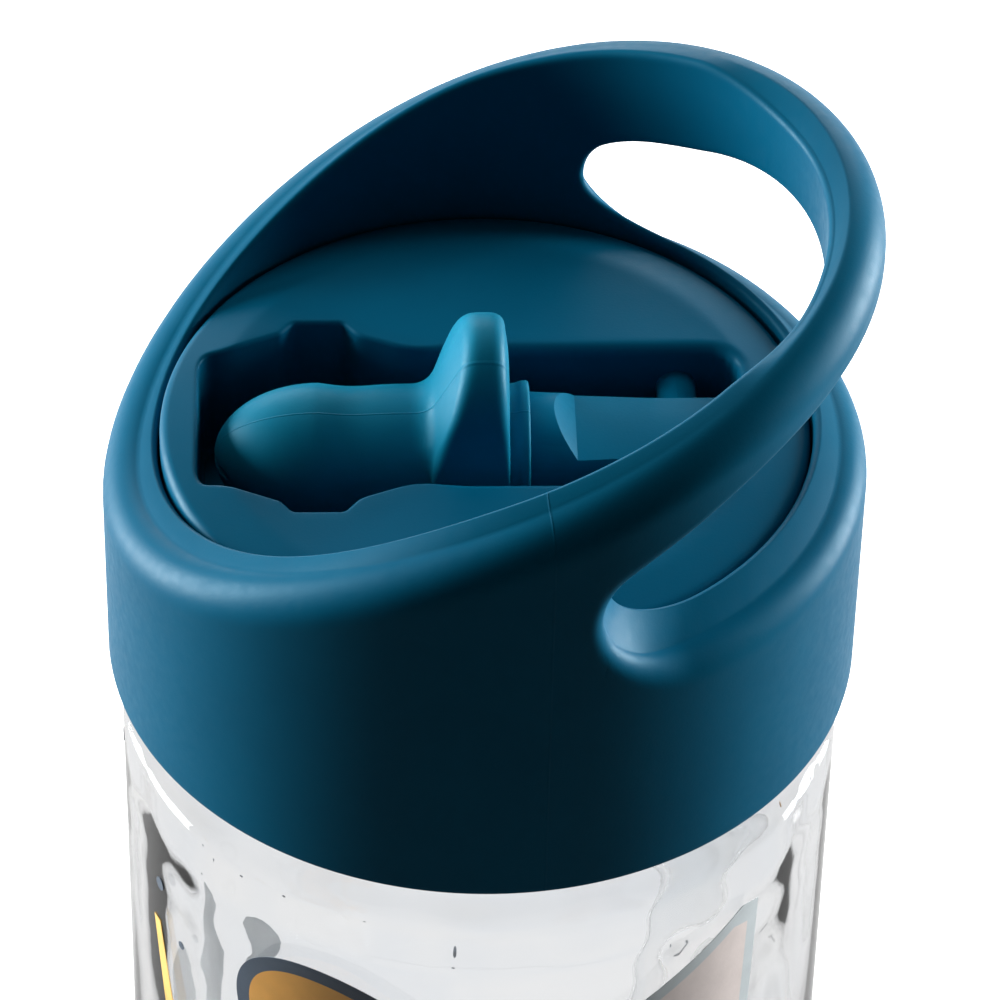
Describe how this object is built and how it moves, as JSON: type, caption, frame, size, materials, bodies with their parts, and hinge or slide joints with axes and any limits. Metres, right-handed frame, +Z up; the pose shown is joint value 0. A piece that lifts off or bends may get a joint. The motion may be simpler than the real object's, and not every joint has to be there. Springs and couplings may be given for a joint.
{
  "type": "flip-spout drinking bottle",
  "caption": "Clear rigid drinking bottle with a screw-on lid, a finger loop to carry it by, and a flip-up straw spout with a soft bite valve.",
  "frame": {"origin": "centre of the bottle's base, on the face that it stands on", "axes": "+Z up the bottle's axis; the closed spout points along -X and the finger loop rises at +X; +Y is to the left of someone who looks along +X"},
  "size_m": [0.075, 0.075, 0.1857],
  "materials": {
    "clear_plastic": "polished thick-walled clear plastic",
    "teal_plastic": "fine-grained satin moulded plastic",
    "teal_silicone": "soft satin silicone",
    "milky_silicone": "translucent white silicone",
    "frosted_plastic": "thin clear straw tube"
  },
  "bodies": {
    "bottle": {"bottle_body": "clear_plastic"},
    "gasket": {"lid_gasket": "milky_silicone"},
    "lid": {"lid_cap": "teal_plastic", "lid_deck": "teal_plastic", "pivot_seal": "milky_silicone", "vent_valve": "milky_silicone", "straw": "frosted_plastic"},
    "spout": {"spout_arm": "teal_plastic", "mouthpiece": "teal_silicone"}
  },
  "joints": [
    {"name": "lid_rise", "type": "slide", "parent": "bottle", "child": "gasket", "axis": [0, 0, 1], "range_m": [0, 0.0051]},
    {"name": "lid_unscrew", "type": "hinge", "parent": "gasket", "child": "lid", "pos_m": [0, 0, 0.13], "axis": [0, 0, 1], "range_deg": [0, 450]},
    {"name": "spout_flip", "type": "hinge", "parent": "lid", "child": "spout", "pos_m": [0.01925, 0, 0.153], "axis": [0, 1, 0], "range_deg": [0, 90]}
  ],
  "couplings": [
    {"joint": "lid_rise", "follows": "lid_unscrew", "m_per_rad": 0.00063662}
  ]
}
